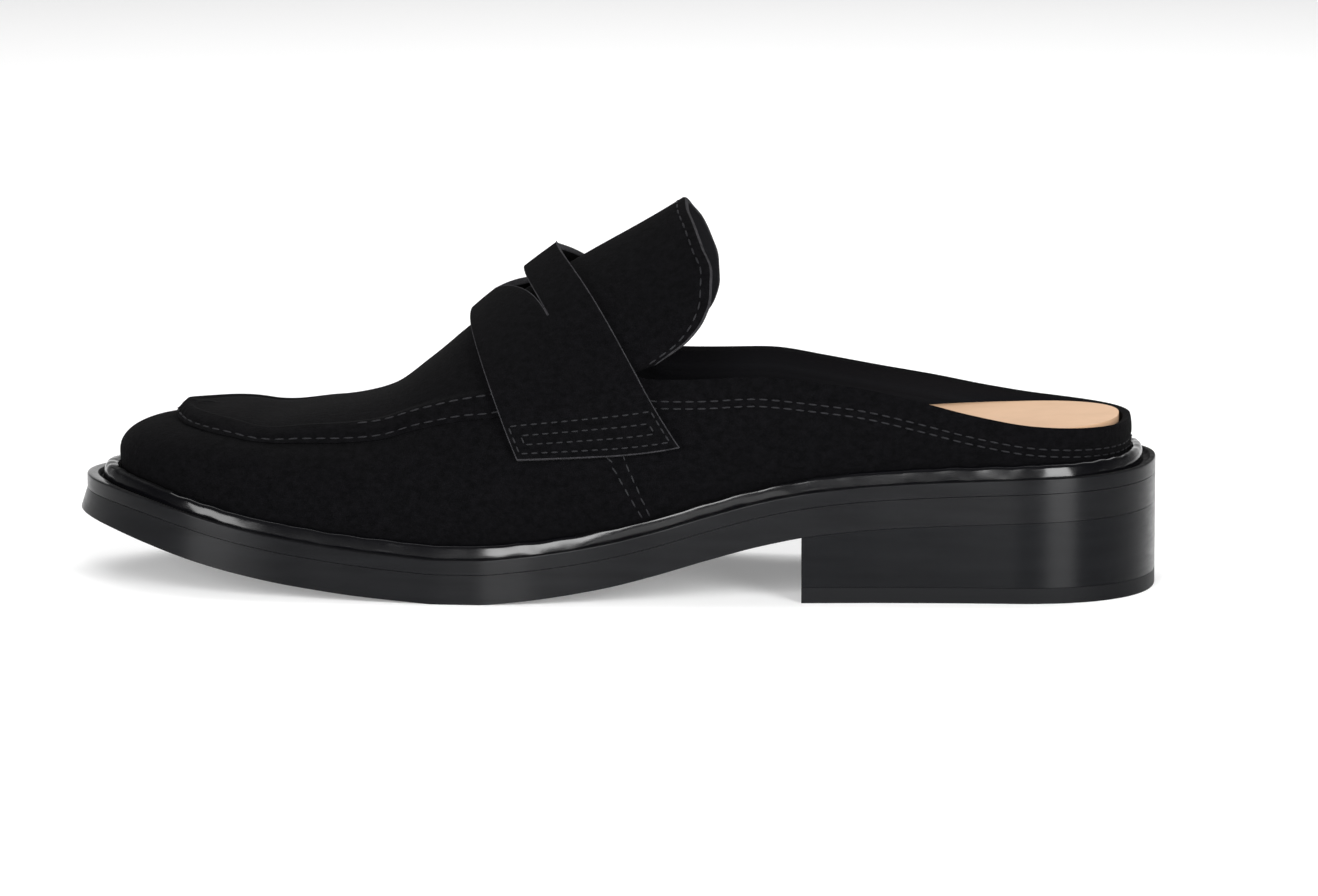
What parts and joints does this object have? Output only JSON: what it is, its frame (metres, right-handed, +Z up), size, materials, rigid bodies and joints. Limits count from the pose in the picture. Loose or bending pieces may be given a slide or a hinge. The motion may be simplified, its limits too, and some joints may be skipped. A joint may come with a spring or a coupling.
{
  "type": "penny loafer mule",
  "caption": "Left backless penny loafer in black suede with a raised apron, saddle strap, welted sole and low block heel",
  "frame": {"origin": "centre of the bounding box at the floor, under the shoe", "axes": "+X from the toe to the heel, +Y to the inner side of the foot, +Z up"},
  "size_m": [0.272, 0.096, 0.0963],
  "materials": {
    "sole": "black satin sole edge",
    "welt": "black polished welt with a glossy bead",
    "heel": "black satin stacked heel",
    "lift": "black matte rubber",
    "lining": "smooth matte peach lining leather",
    "suede": "black suede with a short nap"
  },
  "bodies": {
    "root": {"outsole": "sole", "welt": "welt", "heel_block": "heel", "top_lift": "lift", "insole": "lining", "upper": "suede", "apron_tongue": "suede", "saddle_strap": "suede"}
  },
  "joints": []
}
